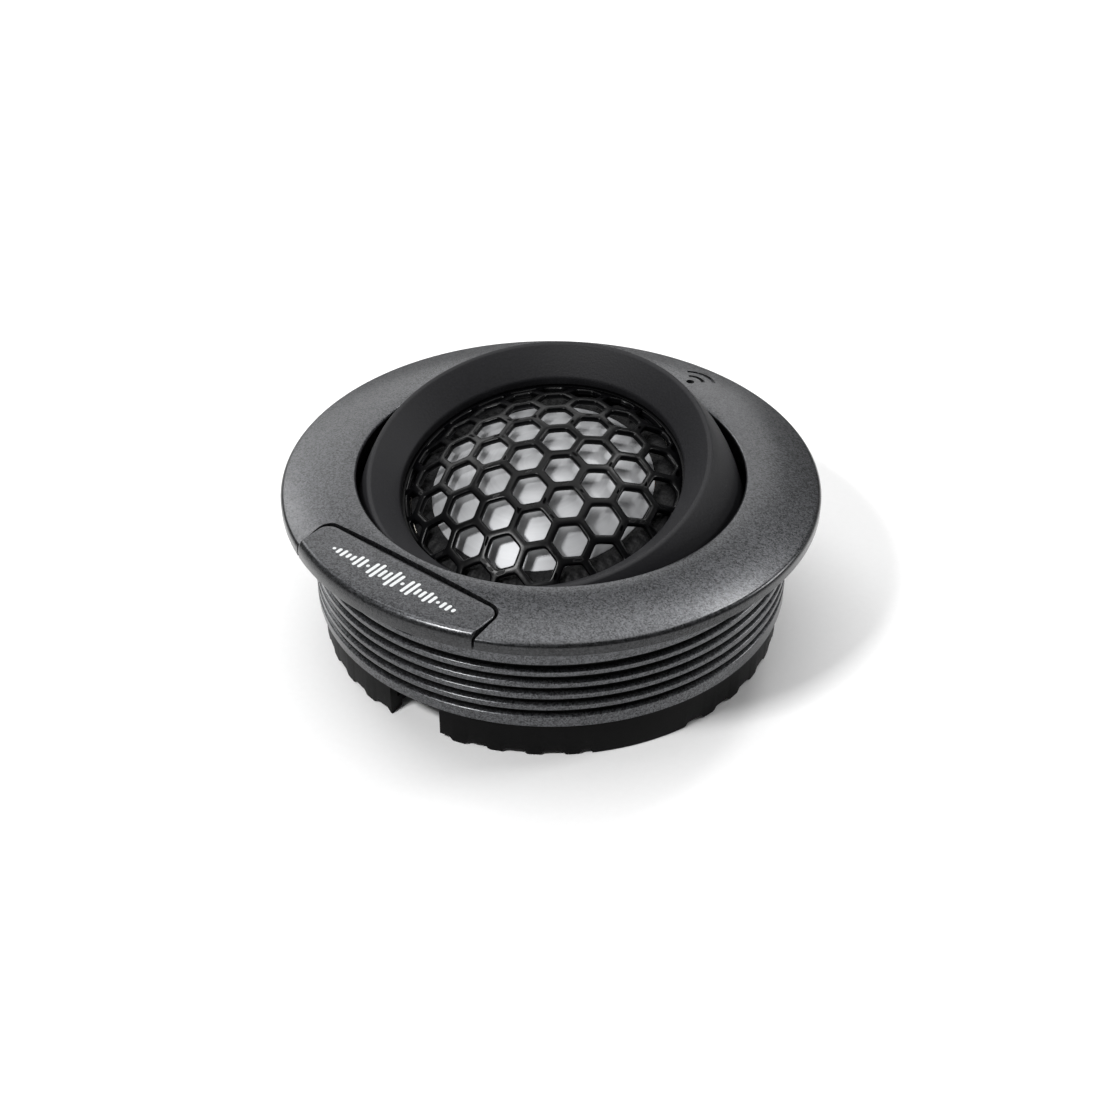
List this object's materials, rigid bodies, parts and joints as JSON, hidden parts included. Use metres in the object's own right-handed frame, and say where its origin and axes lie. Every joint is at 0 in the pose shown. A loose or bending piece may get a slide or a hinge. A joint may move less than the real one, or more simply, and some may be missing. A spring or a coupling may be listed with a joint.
{
  "type": "car tweeter",
  "caption": "Round flush-mount dome tweeter with a tilting swivel cup behind a honeycomb grille, set in a flanged, threaded housing.",
  "frame": {"origin": "centre of the base ring's foot, on the surface it stands on", "axes": "+Z out of the panel towards the listener, -Y towards the badge, X along the tilt hinge"},
  "size_m": [0.052, 0.052, 0.0228],
  "materials": {
    "housing": "gunmetal metallic texture paint",
    "badge_plate": "gunmetal metallic texture paint",
    "base_ring": "fine satin black moulding",
    "carrier_washer": "plain acetal",
    "pivot_carrier": "satin black moulding",
    "pivot_bushes": "turned",
    "swivel_bezel": "charcoal fine texture",
    "rear_cup": "black fine texture",
    "rear_screws": "zinc plated",
    "pivot_pins": "turned",
    "friction_washers": "matt",
    "grille": "gloss black enamel",
    "grille_gasket": "fine foam",
    "diaphragm_ring": "plain",
    "chassis_ring": "die cast",
    "yoke": "black zinc",
    "magnet": "nickel plated",
    "pole_plate": "zinc plated",
    "pole_felt": "pressed felt",
    "chamber_pad": "pressed felt",
    "dome": "satin coated silver-grey dome",
    "surround": "ribbed black coated cloth",
    "coil_former": "thin sheet",
    "coil_winding": "enamelled wire",
    "terminal_board": "laminate",
    "solder_tags": "tinned",
    "coil_leads": "insulated wire",
    "lead_grommet": "matt"
  },
  "bodies": {
    "housing_body": {"housing": "housing", "badge_plate": "badge_plate", "base_ring": "base_ring", "carrier_washer": "carrier_washer"},
    "turntable": {"pivot_carrier": "pivot_carrier", "pivot_bushes": "pivot_bushes"},
    "swivel_cup": {"swivel_bezel": "swivel_bezel", "rear_cup": "rear_cup", "rear_screws": "rear_screws", "pivot_pins": "pivot_pins", "friction_washers": "friction_washers", "grille": "grille", "grille_gasket": "grille_gasket", "diaphragm_ring": "diaphragm_ring", "chassis_ring": "chassis_ring", "yoke": "yoke", "magnet": "magnet", "pole_plate": "pole_plate", "pole_felt": "pole_felt", "chamber_pad": "chamber_pad", "terminal_board": "terminal_board", "solder_tags": "solder_tags", "coil_leads": "coil_leads", "lead_grommet": "lead_grommet"},
    "diaphragm": {"dome": "dome", "surround": "surround", "coil_former": "coil_former", "coil_winding": "coil_winding"}
  },
  "joints": [
    {"name": "turntable_turn", "type": "hinge", "parent": "housing_body", "child": "turntable", "pos_m": [0, 0, 0.0025], "axis": [0, 0, 1], "range_deg": [-170, 170]},
    {"name": "cup_tilt", "type": "hinge", "parent": "turntable", "child": "swivel_cup", "pos_m": [0, 0, 0.0091], "axis": [1, 0, 0], "range_deg": [-32, 4]},
    {"name": "diaphragm_stroke", "type": "slide", "parent": "swivel_cup", "child": "diaphragm", "axis": [0, -0.2419, 0.9703], "range_m": [-0.0002, 0.0002], "stiffness_N_per_m": 600}
  ]
}
